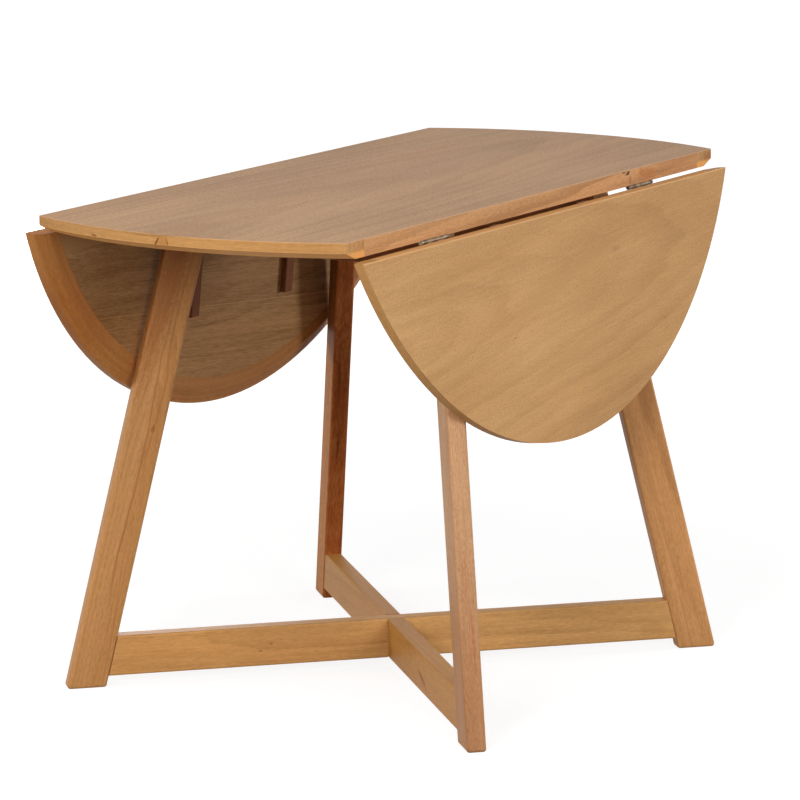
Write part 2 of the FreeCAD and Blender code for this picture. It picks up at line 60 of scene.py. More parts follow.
class Flow:
    # one socket of a material, so that sums can be written as sums
    def __init__(self, finish, socket):
        self.finish = finish
        self.socket = socket

    def maths(self, operation, *others, clamp=False):
        values = dict(enumerate((self,) + others))
        return self.finish.node("Math", {"operation": operation, "use_clamp": clamp}, values)

    def under(self, operation, other):
        return self.finish.node("Math", {"operation": operation}, {0: other, 1: self})

    def __add__(self, other):
        return self.maths("ADD", other)

    def __sub__(self, other):
        return self.maths("SUBTRACT", other)

    def __rsub__(self, other):
        return self.under("SUBTRACT", other)

    def __mul__(self, other):
        return self.maths("MULTIPLY", other)

    def __truediv__(self, other):
        return self.maths("DIVIDE", other)

    def __rtruediv__(self, other):
        return self.under("DIVIDE", other)

    __radd__ = __add__
    __rmul__ = __mul__


class Finish:
    # builds the nodes of one material, or of the world
    def __init__(self, owner, end="OutputMaterial"):
        self.owner = owner
        self.owner.use_nodes = True
        self.tree = self.owner.node_tree
        self.tree.nodes.clear()
        self.out = self.tree.nodes.new("ShaderNode" + end)

    def node(self, kind, settings=None, sockets=None, output=0):
        made = self.tree.nodes.new("ShaderNode" + kind)
        for key, value in (settings or {}).items():
            setattr(made, key, value)
        for key, value in (sockets or {}).items():
            if isinstance(value, Flow):
                self.tree.links.new(value.socket, made.inputs[key])
            else:
                made.inputs[key].default_value = value
        return Flow(self, made.outputs[output])

    def blend(self, factor, first, second, kind="MIX"):
        settings = {"data_type": "RGBA", "blend_type": kind}
        return self.node("Mix", settings, {0: factor, 6: first, 7: second}, 2)

    def step(self, value, low, high, start=0.0, end=1.0):
        # rises smoothly from start to end while the value goes from low to high
        settings = {"interpolation_type": "SMOOTHSTEP"}
        return self.node("MapRange", settings, {0: value, 1: low, 2: high, 3: start, 4: end})

    def stretch(self, place, scales):
        return self.node("VectorMath", {"operation": "MULTIPLY"}, {0: place, 1: scales})

    def moved(self, place, by):
        return self.node("VectorMath", {"operation": "ADD"}, {0: place, 1: by})

    def noise(self, place, scales, detail=2.0, roughness=0.5):
        sockets = {0: self.stretch(place, scales), "Scale": 1.0, "Detail": detail, "Roughness": roughness}
        return self.node("TexNoise", {}, sockets)

    def chance(self, number):
        # a steady random value for each whole number
        return self.node("TexWhiteNoise", {"noise_dimensions": "1D"}, {"W": number})

    def parts(self, place):
        x = self.node("SeparateXYZ", {}, {0: place})
        return x, Flow(self, x.socket.node.outputs[1]), Flow(self, x.socket.node.outputs[2])

    def shown(self):
        # 1 where a surface is seen directly, mirrored or through glass, 0 where it only sends light
        seen = self.node("LightPath", {}, {}, "Is Camera Ray")
        mirrored = self.node("LightPath", {}, {}, "Is Glossy Ray")
        through = self.node("LightPath", {}, {}, "Is Transmission Ray")
        return (seen + mirrored + through).maths("MINIMUM", 1.0)

    def close(self, shader):
        self.tree.links.new(shader.socket, self.out.inputs["Surface"])
        return self.owner


def newFinish(name):
    return Finish(bpy.data.materials.new(name))


def dress(names, material):
    for name in names:
        mesh = nodes[name].data
        mesh.materials.clear()
        mesh.materials.append(material)


def boardSpace(f, origin, along, across):
    # metres across the board, through it and along its grain
    along = Vector(along).normalized()
    across = Vector(across)
    across = (across - along * along.dot(across)).normalized()
    turn = Matrix((across, along.cross(across), along))
    sockets = {
        "Vector": f.node("TexCoord", {}, {}, "Object"),
        "Rotation": turn.to_euler("XYZ"),
        "Location": -(turn @ Vector(origin)),
    }
    return f.node("Mapping", {"vector_type": "POINT"}, sockets)


def bentSpace(f, place, radius):
    # the same for a board that is bent round the origin: outwards, through it and along the bend
    x, y, z = f.parts(place)
    outwards = (x * x + z * z).maths("SQRT")
    bend = z.maths("ARCTAN2", x) * radius
    return f.node("CombineXYZ", {}, {0: outwards, 1: y, 2: bend})


# wood: every board gets its own place in the trunk, its own colour and its own marks
# each Size is how often a figure repeats in a metre, across the board, through it and along it
timber = {
    "shade": tint(188, 144, 98),
    "light": (1.20, 1.20, 1.22),
    "dark": (0.76, 0.70, 0.62),
    "warm": (1.06, 0.94, 0.84),
    "pore": (0.55, 0.42, 0.34),
    "contrast": 1.0,
    "ringGap": 0.011,
    "pith": (0.03, -0.11),
    "tilt": 0.03,
    "wander": 0.05,
    "wanderSize": (4, 4, 1.2),
    "rippleSize": (45, 45, 5),
    "rings": 0.35,
    "ringRipple": 0.9,
    "earlyWood": 0.22,
    "streaks": 0.55,
    "streakSize": (190, 190, 4.5),
    "bands": 0.8,
    "bandSize": (38, 38, 1.6),
    "fibres": 0.45,
    "fibreSize": (900, 900, 36),
    "flecks": 0.7,
    "fleckSize": (420, 420, 90),
    "patches": 0.5,
    "patchSize": (8, 8, 2.4),
    "poreWeight": 0.35,
    "poreSize": (1500, 1500, 130),
    "warmWeight": 0.4,
    "warmSize": (14, 14, 2.0),
    "markSize": (260, 260, 160),
    "veinSize": (60, 60, 14),
    "rough": 0.5,
    "roughSpread": 0.12,
    "roughPores": 0.1,
    "specular": 0.2,
    "bump": 0.25,
    "bumpDepth": 0.0002,
    "seed": 0.0,
    "skew": 0.0,
    "bend": None,
    "segment": None,
    "segmentShift": 0.0,
    "segmentWeight": 0.1,
    "segmentTone": (0.7, 0.6, 0.5),
    "segmentLine": (0.45, 0.38, 0.3),
    "jointWidth": 0.0005,
    "jointWeight": 0.5,
    "seam": None,
    "marks": (),
    "veins": (),
    "edges": (),
}


def growthRings(f, look, place, wander):
    # late wood seen as lines and arches: distance from a pith that leans and wanders
    x, y, z = f.parts(place)
    pithX, pithY = look["pith"]
    drift = (wander - 0.5) * look["wander"]
    dx = x - pithX + drift
    dy = y - pithY + z * look["tilt"] + drift * 0.6
    ripple = f.noise(place, look["rippleSize"]) - 0.5
    count = (dx * dx + dy * dy).maths("SQRT") / look["ringGap"] + ripple * look["ringRipple"]
    ring = count.maths("FRACT")
    strength = f.chance(count.maths("FLOOR") + look["seed"])
    return (f.step(ring, 0.2, 0.9) - f.step(ring, 0.92, 1.0)) * (strength * 0.8 + 0.2)


def markSpots(f, look, place, colour):
    # knots, flecks and soft bands at given places, and patches of painted shade and painted light: across and
    # along the board, in metres
    x, y, z = f.parts(place)
    for mark in look["marks"]:
        across, along = mark["at"]
        wide, long = mark["size"]
        turn = math.radians(mark.get("turn", 0))
        dx, dz = (y if mark.get("edge") else x) - across, z - along
        u = (dx * math.cos(turn) + dz * math.sin(turn)) / wide
        v = (dz * math.cos(turn) - dx * math.sin(turn)) / long
        ragged = (f.noise(place, look["markSize"]) - 0.5) * mark.get("ragged", 0.5)
        away = (u * u + v * v).maths("SQRT") + ragged
        spot = f.step(away, mark.get("core", 0.4), 1.0, 1.0, 0.0) * mark.get("weight", 0.8)
        # tinted marks multiply the colour: stains, patches of painted shade and patches of painted light
        if mark.get("tinted"):
            colour = f.blend(spot, colour, mark["tone"] + (1,), "MULTIPLY")
        else:
            colour = f.blend(spot, colour, toned(look["shade"], *mark["tone"]))
    return colour


def darkVeins(f, look, place, colour):
    # dark lines that sway along the board
    x, _, z = f.parts(place)
    for vein in look["veins"]:
        start, end = vein["span"]
        sway = (z * (math.tau / vein["period"]) + vein["phase"]).maths("SINE") * vein["sway"]
        ragged = (f.noise(place, look["veinSize"], 3.0) - 0.5) * vein["ragged"]
        away = (x - vein["at"] + sway + ragged).maths("ABSOLUTE")
        line = f.step(away, vein["width"] * 0.2, vein["width"], 1.0, 0.0)
        held = f.step(z, start - 0.03, start + 0.03) - f.step(z, end - 0.03, end + 0.03)
        colour = f.blend(line * held * vein["weight"], colour, toned(look["shade"], *vein["tone"]))
    return colour


def joinedSheets(f, look, place, colour):
    # the pale joint between two sheets, each with its own tone
    x, _, z = f.parts(place)
    seam = look["seam"]
    beyond = f.step(x, seam["at"] - 0.0003, seam["at"] + 0.0003)
    colour = f.blend(beyond, colour, seam["tone"] + (1,), "MULTIPLY")
    line = 1 - f.step((x - seam["at"]).maths("ABSOLUTE"), seam["width"] * 0.4, seam["width"])
    return f.blend(line * seam["weight"], colour, toned(look["shade"], *seam["line"]))


def gluedSegments(f, look, place, colour):
    # staves glued end to end, each from another board
    _, _, z = f.parts(place)
    count = (z + look["segmentShift"]) / look["segment"]
    tone = f.chance(count.maths("FLOOR") + look["seed"] + 7.3)
    colour = f.blend(tone * look["segmentWeight"] * 2, colour, toned(look["shade"], *look["segmentTone"]))
    nearest = 0.5 - (count.maths("FRACT") - 0.5).maths("ABSOLUTE")
    joint = 1 - f.step(nearest * look["segment"], look["jointWidth"] * 0.2, look["jointWidth"])
    return f.blend(joint * look["jointWeight"], colour, toned(look["shade"], *look["segmentLine"]))


def edgeBandsAndPaintedLight(f, look, place, colour):
    # painted highlights along arrises, painted light on a bevel and a lip's edge, painted shade on a leg's
    # inner face,
    # and a darker back face on the leaf lips: a line across the board, a layer in its thickness, or a ring
    # about its origin
    x, y, z = f.parts(place)
    for edge in look["edges"]:
        if edge["kind"] == "line":
            away = (x - edge["at"]).maths("ABSOLUTE")
        elif edge["kind"] == "layer":
            away = (y - edge["at"]).maths("ABSOLUTE")
        else:
            away = ((x * x + z * z).maths("SQRT") - edge["at"]).maths("ABSOLUTE")
        edgeBand = f.step(away, edge["width"] * 0.35, edge["width"], 1.0, 0.0)
        scale = edge.get("patch", 30)
        patchy = f.noise(place, (scale, scale, scale)) * 0.6 + 0.4
        weight = edgeBand * patchy * edge["weight"]
        if edge.get("tinted"):
            colour = f.blend(weight, colour, edge["tone"] + (1,), "MULTIPLY")
        else:
            colour = f.blend(weight, colour, toned(look["shade"], *edge["tone"]))
    return colour


def woodFinish(name, look, origin, along, across):
    look = {**timber, **look}
    f = newFinish(name)
    along, across = Vector(along).normalized(), Vector(across).normalized()
    skew = math.radians(look["skew"])
    grainAlong = along * math.cos(skew) - across * math.sin(skew)
    grainAcross = across * math.cos(skew) + along * math.sin(skew)
    square = boardSpace(f, origin, along, across)
    flat = boardSpace(f, origin, grainAlong, grainAcross)
    if look["bend"]:
        flat = bentSpace(f, flat, look["bend"])
    seed = look["seed"]
    grain = f.moved(flat, (seed, seed * 0.7, seed * 3.1))
    wander = f.noise(grain, look["wanderSize"])
    late = growthRings(f, look, flat, wander)
    streak = f.noise(grain, look["streakSize"], 3.0, 0.6)
    band = f.noise(grain, look["bandSize"])
    fibre = f.noise(grain, look["fibreSize"], 2.0, 0.6)
    fleck = f.noise(grain, look["fleckSize"], 2.0, 0.7)
    patch = f.noise(grain, look["patchSize"])
    hue = f.noise(f.moved(grain, (4.1, 2.7, 9.2)), look["warmSize"])
    pore = f.step(f.noise(grain, look["poreSize"], 1.0), 0.58, 0.72)
    contrast = look["contrast"]
    tone = 0.5 + (late - look["earlyWood"]) * (look["rings"] * contrast)
    tone = tone + (0.5 - streak) * (look["streaks"] * contrast)
    tone = tone + (0.5 - band) * (look["bands"] * look["streaks"] * contrast)
    tone = tone + (0.5 - fibre) * (look["fibres"] * contrast)
    tone = tone + (0.5 - fleck) * (look["flecks"] * contrast)
    tone = (tone + (0.5 - patch) * (look["patches"] * contrast)).maths("ADD", 0.0, clamp=True)
    shade = look["shade"]
    colour = f.blend(tone, toned(shade, *look["light"]), toned(shade, *look["dark"]))
    warm = f.step(hue, 0.3, 0.75) * look["warmWeight"]
    colour = f.blend(warm, colour, look["warm"] + (1,), "MULTIPLY")
    colour = f.blend(pore * look["poreWeight"], colour, look["pore"] + (1,), "MULTIPLY")
    if look["seam"]:
        colour = joinedSheets(f, look, flat, colour)
    if look["segment"]:
        colour = gluedSegments(f, look, flat, colour)
    if look["marks"]:
        colour = markSpots(f, look, flat if look["bend"] else square, colour)
    if look["veins"]:
        colour = darkVeins(f, look, flat, colour)
    if look["edges"]:
        colour = edgeBandsAndPaintedLight(f, look, square, colour)
    height = (1 - pore) * 0.5 + (fibre - 0.5) * 0.35 + (streak - 0.5) * 0.2
    bump = {"Strength": look["bump"], "Distance": look["bumpDepth"], "Height": height}
    bumped = f.node("Bump", {}, bump)
    shader = f.node("BsdfPrincipled", {}, {
        "Base Color": colour,
        "Roughness": look["rough"] + (streak - 0.5) * look["roughSpread"] + pore * look["roughPores"],
        "Specular IOR Level": look["specular"],
        "Normal": bumped,
    })
    return f.close(shader)


def steelFinish(name, look, along):
    # turned or rolled steel: fine lines along one axis, a little dulled and stained
    f = newFinish(name)
    place = f.node("TexCoord", {}, {}, "Object")
    scales = [metal["alongSize"] if part else metal["brushSize"] for part in along]
    brush = f.noise(place, scales, 3.0, 0.6)
    dull = f.noise(place, metal["dullSize"], 3.0)
    shade = f.blend(f.step(dull, 0.35, 0.75) * look["staining"], look["shade"], look["tinted"])
    height = brush * 0.6 + dull * 0.4
    bump = {"Strength": metal["bump"], "Distance": metal["bumpDepth"], "Height": height}
    bumped = f.node("Bump", {}, bump)
    rough = look["rough"] + (brush - 0.5) * metal["brushRough"] + (dull - 0.5) * metal["dullRough"]
    shader = f.node("BsdfPrincipled", {}, {
        "Base Color": shade,
        "Metallic": 1.0 - f.step(dull, 0.62, 0.8) * metal["dullMetal"],
        "Roughness": rough,
        "Normal": bumped,
    })
    return f.close(shader)


up = Vector((0, 0, 1))
alongX = Vector((1, 0, 0))
alongY = Vector((0, 1, 0))
diagonal = Vector((1, 1, 0)).normalized()
otherDiagonal = Vector((1, -1, 0)).normalized()
sideSigns = {"right": 1, "left": -1}
endSigns = {"front": -1, "back": 1}
topHeight = cadBox[1][2]
topRadius = cadBox[1][1]


# the fixed middle board
def rimArc(degrees):
    # the distance along the front rim from its middle, for an angle about the top's centre
    return math.radians(degrees + 90) * topRadius


# knots and stains: the rims' by depth in the board and along the bend, the lip's by height and length
frontRimMarks = (
    {"edge": True, "at": (0.0105, rimArc(-90.5)), "size": (0.010, 0.014), "tone": (0.80, 0.62, 0.42),
     "weight": 0.5, "ragged": 0.9},
    {"edge": True, "at": (0.0110, rimArc(-91.45)), "size": (0.0100, 0.0022), "tone": (0.30, 0.17, 0.10),
     "weight": 0.9, "ragged": 0.7, "turn": -29},
    {"edge": True, "at": (0.0095, rimArc(-89.75)), "size": (0.0075, 0.0022), "tone": (0.45, 0.28, 0.17),
     "weight": 0.75, "ragged": 0.9, "turn": 14},
    {"edge": True, "at": (0.0125, rimArc(-102.8)), "size": (0.0020, 0.0080), "tone": (0.36, 0.22, 0.13),
     "weight": 0.85, "ragged": 0.7, "turn": -4},
)
backRimMarks = (
    {"edge": True, "at": (-0.012, 0.272), "size": (0.014, 0.014), "core": 0.2, "tone": (0.6, 0.36, 0.2),
     "weight": 0.7, "ragged": 1.0},
)
rightLipMarks = (
    {"at": (-0.012, 0.33), "size": (0.012, 0.04), "core": 0.2, "tone": (0.86, 0.62, 0.40), "weight": 0.75,
     "ragged": 0.8},
    {"at": (-0.006, 0.31), "size": (0.010, 0.012), "core": 0.2, "tone": (0.8, 0.5, 0.28), "weight": 0.5,
     "ragged": 0.8},
    {"at": (-0.0045, 0.267), "size": (0.0042, 0.008), "tone": (0.14, 0.08, 0.05), "weight": 0.95,
     "ragged": 1.0, "turn": -20},
    {"at": (-0.0025, 0.2535), "size": (0.002, 0.008), "tone": (0.3, 0.18, 0.1), "weight": 0.8},
    {"at": (-0.016, 0.2745), "size": (0.009, 0.004), "tone": (0.62, 0.4, 0.24), "weight": 0.6, "ragged": 0.7},
    {"at": (-0.012, -0.12), "size": (0.0015, 0.002), "tone": (0.3, 0.18, 0.1), "weight": 0.7},
    {"tinted": True, "at": (-0.012, 0.50), "size": (0.1, 0.3), "core": 0.2, "tone": (0.84, 0.74, 0.66)},
)

middleBoard = {
    "halfWidth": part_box("middle_face_veneer")[1][0],
    "face": {
        "shade": tint(182, 141, 99),
        "contrast": 2.3,
        "fleckSize": (560, 560, 110),
        "pith": (-0.02, -0.16),
        "ringGap": 0.016,
        "tilt": 0.06,
        "rings": 0.12,
        "streaks": 0.3,
        "flecks": 1.2,
        "patches": 0.6,
        "seed": 2.0,
        "skew": 1.0,
        "rough": 0.5,
        "specular": 0.19,
    },
    "back": {"shade": tint(172, 134, 92), "seed": 5.0, "contrast": 1.2, "specular": 0.05},
    "core": {"shade": tint(196, 168, 128), "seed": 6.0},
    "rim": {
        "shade": tint(186, 141, 88),
        "bend": topRadius,
        "segment": 0.45,
        "segmentShift": 0.2084,
        "seed": 3.0,
        "segmentWeight": 0.08,
        "specular": 0.07,
        "contrast": 1.8,
    },
    "rimMarks": {"front": frontRimMarks, "back": backRimMarks},
    # painted light: the rim's downward bevel and the foot of its face painted lighter and yellower, as if lit
    "bevel": {"width": 0.010, "depth": 0.0225, "weight": 1.1, "tone": (1.75, 1.46, 1.0), "patch": 300},
    # painted highlight: a pale line along the top's arrises, as if they caught the light
    "arrisHighlight": {"width": 0.0032, "weight": 1.1, "tone": (1.3, 1.3, 1.35)},
    "lip": {
        "shade": tint(195, 148, 100),
        "specular": 0.06,
        "contrast": 1.9,
        "seed": 4.0,
    },
    "lipMarks": {"right": rightLipMarks, "left": ()},
}


def dressMiddleBoard():
    look = middleBoard
    origin = (0, 0, topHeight)
    # painted highlights along both long arrises and round the curved ends
    highlightLines = [{**look["arrisHighlight"], "kind": "line", "at": sign * look["halfWidth"]} for sign in (-1, 1)]
    ring = {**look["arrisHighlight"], "kind": "ring", "at": topRadius}
    face = {**look["face"], "edges": highlightLines + [ring]}
    dress(["middle_face_veneer"], woodFinish("topFace", face, origin, alongY, alongX))
    dress(["middle_back_veneer"], woodFinish("topBack", look["back"], origin, alongY, alongX))
    dress(["middle_core"], woodFinish("topCore", look["core"], origin, alongY, alongX))
    for end, sign in endSigns.items():
        # painted light on the rim's bevel
        bevel = {**look["bevel"], "kind": "layer", "at": -sign * look["bevel"]["depth"]}
        seed = look["rim"]["seed"] + sign
        rim = {**look["rim"], "seed": seed, "edges": (bevel,), "marks": look["rimMarks"][end]}
        dress(["middle_rim_" + end], woodFinish(end + "Rim", rim, origin, alongX, alongY * sign))
    for side, sign in sideSigns.items():
        seed = look["lip"]["seed"] + sign
        lip = {**look["lip"], "seed": seed, "marks": look["lipMarks"][side]}
        origin = (sign * look["halfWidth"], 0, topHeight)
        dress(["middle_lip_" + side], woodFinish(side + "Lip", lip, origin, alongY, up))


# faint flecks and soft darker bands in the leaves, and a painted shadow on the far leaf's back, placed down
# from the hinge line and along it
nearLeafMarks = (
    {"at": (0.080, 0.164), "size": (0.006, 0.016), "core": 0.1, "tone": (0.62, 0.62, 0.66), "weight": 0.6,
     "turn": 5, "ragged": 0.8},
    {"at": (0.105, -0.02), "size": (0.030, 0.24), "core": 0.1, "tone": (0.86, 0.82, 0.76), "weight": 0.45,
     "turn": 14, "ragged": 0.5},
    {"at": (0.205, 0.03), "size": (0.016, 0.20), "core": 0.1, "tone": (0.86, 0.82, 0.76), "weight": 0.4,
     "turn": 14, "ragged": 0.5},
    {"at": (0.167, -0.1525), "size": (0.0016, 0.0035), "tone": (0.45, 0.4, 0.36), "weight": 0.6},
)
# the rim's are placed outwards from the top's centre and along the bend
farRimMarks = (
    {"tinted": True, "at": (0.57, -0.49), "size": (0.5, 0.15), "core": 0.2, "tone": (0.84, 0.70, 0.58)},
)
# painted shadow: the front-left leg's shadow on the far leaf's back, left of the leg
farBackPaintedShadow = (
    {"tinted": True, "at": (0.165, -0.40), "size": (0.17, 0.17), "core": 0.2, "tone": (0.60, 0.49, 0.39)},
)

# the two hanging leaves, turned with the hinge line as their origin
leaves = {
    "grainSkew": 4.9,
    "seam": {
        "at": 0.184,
        "width": 0.0011,
        "weight": 0.7,
        "tone": (1.08, 1.07, 1.05),
        "line": (1.7, 1.65, 1.6),
    },
    "face": {
        "shade": tint(196, 153, 102),
        "contrast": 1.3,
        "pith": (0.10, -0.12),
        "ringGap": 0.024,
        "tilt": 0.16,
        "rings": 0.16,
        "streaks": 0.32,
        "flecks": 1.1,
        "fleckSize": (620, 620, 260),
        "patches": 0.9,
        "rough": 0.62,
        "specular": 0.08,
        "seed": 8.0,
    },
    "back": {
        "shade": tint(172, 134, 92),
        "specular": 0.04,
        "contrast": 1.9,
        "pith": (0.1, -0.3),
        "ringGap": 0.005,
        "rings": 0.2,
        "streaks": 0.8,
        "flecks": 1.0,
        "fleckSize": (520, 520, 50),
        "seed": 9.0,
    },
    "core": {"shade": tint(196, 168, 128), "seed": 10.0},
    "rim": {
        "contrast": 1.5,
        "specular": 0.08,
        "bend": topRadius,
        "segment": 0.23,
        "segmentShift": 0.06,
        "seed": 11.0,
    },
    "rimShade": {"right": tint(192, 148, 94), "left": tint(186, 130, 74)},
    "faceMarks": {"right": nearLeafMarks, "left": ()},
    "backMarks": {"right": (), "left": farBackPaintedShadow},
    "rimMarks": {"right": (), "left": farRimMarks},
    # painted highlight: a pale line along each leaf face's hinge edge
    "arrisHighlight": {"kind": "line", "at": 0.0015, "width": 0.004, "weight": 1.3, "tone": (1.4, 1.42, 1.5)},
    "lip": {"shade": tint(200, 152, 100), "seed": 12.0, "specular": 0.06, "contrast": 1.4},
    "lipBack": {"width": 0.006, "depth": 0.0025, "weight": 1.6, "tone": (0.70, 0.70, 0.70)},
    # painted light: the lip's hinge-side edge painted pale, against the shade under the board's lip
    "lipEdgeHighlight": {"kind": "line", "at": 0, "width": 0.006, "weight": 1.4, "tone": (1.3, 1.25, 1.2)},
    "bar": {
        "shade": tint(132, 86, 58),
        "seed": 13.0,
        "fibres": 0.7,
        "specular": 0.04,
        "marks": (
            # painted light: the hinge-side end of each bar painted pale, as if lit where it shows in the gap
            {"at": (0, -0.01), "size": (1.0, 0.026), "core": 0.7, "tone": (2.2, 2.8, 3.2), "weight": 1.0},
        ),
    },
    "guide": {"shade": tint(150, 116, 84), "seed": 14.0, "contrast": 1.2, "specular": 0.04},
}


def leafSpan(side):
    # the way down a hanging leaf, and its hinge line's middle
    joint = joints[f"leaf_{side}_hinge"]
    drop = math.radians(joint["range_deg"][1])
    down = Vector((sideSigns[side] * math.cos(drop), 0, -math.sin(drop)))
    return down, Vector(joint["pos_m"])


def dressLeaf(side):
    look = leaves
    sign = sideSigns[side]
    down, hinge = leafSpan(side)
    centre = hinge - down * abs(hinge.x)
    skew = sign * look["grainSkew"]

    def piece(part, **more):
        # one part's values, with its own place in the trunk on each side
        return {**look[part], "seed": look[part]["seed"] * sign, **more}

    face = piece("face", skew=skew, edges=(look["arrisHighlight"],), marks=look["faceMarks"][side])
    dress([f"leaf_{side}_face_veneer"], woodFinish(side + "LeafFace", face, hinge, alongY, down))
    back = piece("back", skew=skew, seam=look["seam"], marks=look["backMarks"][side])
    dress([f"leaf_{side}_back_veneer"], woodFinish(side + "LeafBack", back, hinge, alongY, down))
    dress([f"leaf_{side}_core"], woodFinish(side + "LeafCore", look["core"], hinge, alongY, down))
    rim = piece("rim", shade=look["rimShade"][side], marks=look["rimMarks"][side])
    dress([f"leaf_{side}_rim"], woodFinish(side + "LeafRim", rim, centre, alongY, down))
    stained = {**look["lipBack"], "kind": "layer", "at": -sign * look["lipBack"]["depth"]}
    lip = {**look["lip"], "edges": (look["lipEdgeHighlight"], stained)}
    dress([f"leaf_{side}_lip"], woodFinish(side + "LeafLip", lip, hinge, alongY, down))
    for end, place in endSigns.items():
        bar = {**look["bar"], "seed": look["bar"]["seed"] + sign * 2 + place}
        dress([f"support_bar_{side}_{end}"], woodFinish(f"{side}{end}Bar", bar, hinge, down, alongY))
    dress([f"bar_guides_{side}"], woodFinish(side + "Guides", look["guide"], hinge, alongY, down))


# the four splayed legs
legs = {
    "footReach": 0.48305,
    "headReach": 0.30525,
    "headHeight": 0.731,
    "front_left": {
        "shade": tint(186, 137, 84),
        "pith": (-0.004, 0.022),
        "ringGap": 0.0065,
        "tilt": 0.065,
        "rings": 0.3,
        "streaks": 0.35,
        "flecks": 1.0,
        "wander": 0.03,
        "seed": 21.0,
        "contrast": 1.2,
        "veins": (
            {"at": -0.0036, "span": (0.15, 0.62), "sway": 0.0022, "period": 0.31, "phase": 0.4,
             "ragged": 0.006, "width": 0.0024, "weight": 0.55, "tone": (0.62, 0.45, 0.30)},
            {"at": -0.0128, "span": (0.36, 0.70), "sway": 0.003, "period": 0.24, "phase": 2.0,
             "ragged": 0.008, "width": 0.003, "weight": 0.4, "tone": (0.62, 0.45, 0.30)},
            {"at": -0.016, "span": (0.02, 0.20), "sway": 0.005, "period": 0.4, "phase": 1.0,
             "ragged": 0.006, "width": 0.002, "weight": 0.35, "tone": (0.62, 0.45, 0.30)},
        ),
        "marks": (
            {"at": (-0.012, 0.41), "size": (0.004, 0.008), "tone": (0.5, 0.36, 0.24), "weight": 0.6},
            {"tinted": True, "at": (-0.016, 0.30), "size": (0.018, 0.5), "tone": (0.92, 0.84, 0.74)},
            # painted shade: the leg's head darker, under the top's overhang
            {"tinted": True, "at": (0, 0.78), "size": (0.4, 0.22), "core": 0.2, "tone": (0.86, 0.76, 0.64)},
            # painted shade: a darker strip down the outer side of the leg's upper part
            {"tinted": True, "at": (0.014, 0.62), "size": (0.030, 0.22), "core": 0.3,
             "tone": (0.66, 0.48, 0.35), "turn": 4},
        ),
    },
    "front_right": {
        "shade": tint(194, 151, 110),
        "warm": (1.04, 0.9, 0.86),
        "seed": 23.0,
        "rings": 0.15,
        "flecks": 1.1,
        "fleckSize": (760, 760, 170),
        "poreWeight": 0.6,
        "contrast": 1.3,
        "marks": (
            {"tinted": True, "edge": True, "at": (0.0045, 0.15), "size": (0.0028, 0.09), "core": 0.1,
             "tone": (0.92, 0.66, 0.52), "weight": 0.8, "ragged": 0.8, "turn": 1},
            {"tinted": True, "edge": True, "at": (-0.002, 0.25), "size": (0.0022, 0.08), "core": 0.1,
             "tone": (0.92, 0.72, 0.60), "weight": 0.7, "ragged": 0.8, "turn": -1},
            # painted shade: darker towards the foot
            {"tinted": True, "at": (0, -0.02), "size": (0.3, 0.4), "core": 0.2, "tone": (0.74, 0.58, 0.44)},
        ),
    },
    "back_right": {
        "shade": tint(197, 145, 92),
        "seed": 25.0,
        "contrast": 1.8,
        "rings": 0.25,
        "pith": (0.05, 0.2),
    },
    "back_left": {
        "shade": tint(186, 126, 72),
        "seed": 27.0,
        "specular": 0.06,
        "contrast": 1.8,
        "flecks": 1.5,
        "fleckSize": (340, 340, 70),
        "marks": (
            # painted shade: the upper part of the leg darker, under the top
            {"tinted": True, "at": (0, 0.75), "size": (0.4, 0.55), "core": 0.3, "tone": (0.78, 0.7, 0.64)},
            # painted light: the upper part of the inner face lightened, against the painted shade on that
            # face
            {"tinted": True, "at": (-0.0305, 0.70), "size": (0.012, 0.32), "core": 0.3,
             "tone": (2.5, 3.2, 4.2)},
            {"tinted": True, "edge": True, "at": (0.001, 0.285), "size": (0.0035, 0.045), "core": 0.1,
             "tone": (0.42, 0.26, 0.16), "weight": 0.9, "ragged": 0.9, "turn": 2},
            {"tinted": True, "edge": True, "at": (0.004, 0.41), "size": (0.0026, 0.05), "core": 0.1,
             "tone": (0.5, 0.36, 0.26), "weight": 0.7, "ragged": 0.9, "turn": -2},
        ),
        "edges": (
            # painted shade: the inner face darkened, in the near leaf's shadow under the table
            {"kind": "line", "tinted": True, "at": -0.0305, "width": 0.008, "weight": 1.2,
             "tone": (0.62, 0.38, 0.28)},
        ),
    },
    "block": {"shade": tint(170, 118, 76), "seed": 29.0, "specular": 0.05},
}


def legWay(corner):
    side = 1 if "right" in corner else -1
    end = 1 if "back" in corner else -1
    return Vector((side, end, 0)).normalized()


def dressLegs():
    rise = legs["headReach"] - legs["footReach"]
    for side in sideSigns:
        for end in endSigns:
            corner = f"{end}_{side}"
            out = legWay(corner)
            foot = out * legs["footReach"]
            lean = up * legs["headHeight"] + out * rise
            dress(["leg_" + corner], woodFinish(corner + "Leg", legs[corner], foot, lean, out))
            block = woodFinish(corner + "Block", legs["block"], foot, up.cross(out), out)
            dress(["corner_block_" + corner], block)


